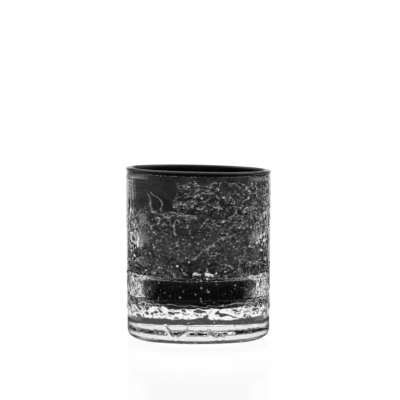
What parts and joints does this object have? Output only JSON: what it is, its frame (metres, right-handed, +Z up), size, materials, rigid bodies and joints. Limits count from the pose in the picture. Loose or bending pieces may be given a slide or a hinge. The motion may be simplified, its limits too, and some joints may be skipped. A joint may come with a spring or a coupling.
{
  "type": "whiskey tumbler",
  "caption": "Round straight-sided whiskey tumbler of thick clear textured glass, cased over a near-black smoke glass cup with a rolled rim and a heavy base.",
  "frame": {"origin": "middle of the foot, on the surface that the tumbler stands on", "axes": "+Z up along the glass's axis, out of its mouth; +X towards the side where the rim is lowest; +Y away from the side that is looked at"},
  "size_m": [0.082, 0.082, 0.0969],
  "materials": {
    "clear_glass": "fire-polished, hand-textured",
    "smoke_glass": "polished"
  },
  "bodies": {
    "root": {"clear_casing": "clear_glass", "smoke_lining": "smoke_glass"}
  },
  "joints": []
}
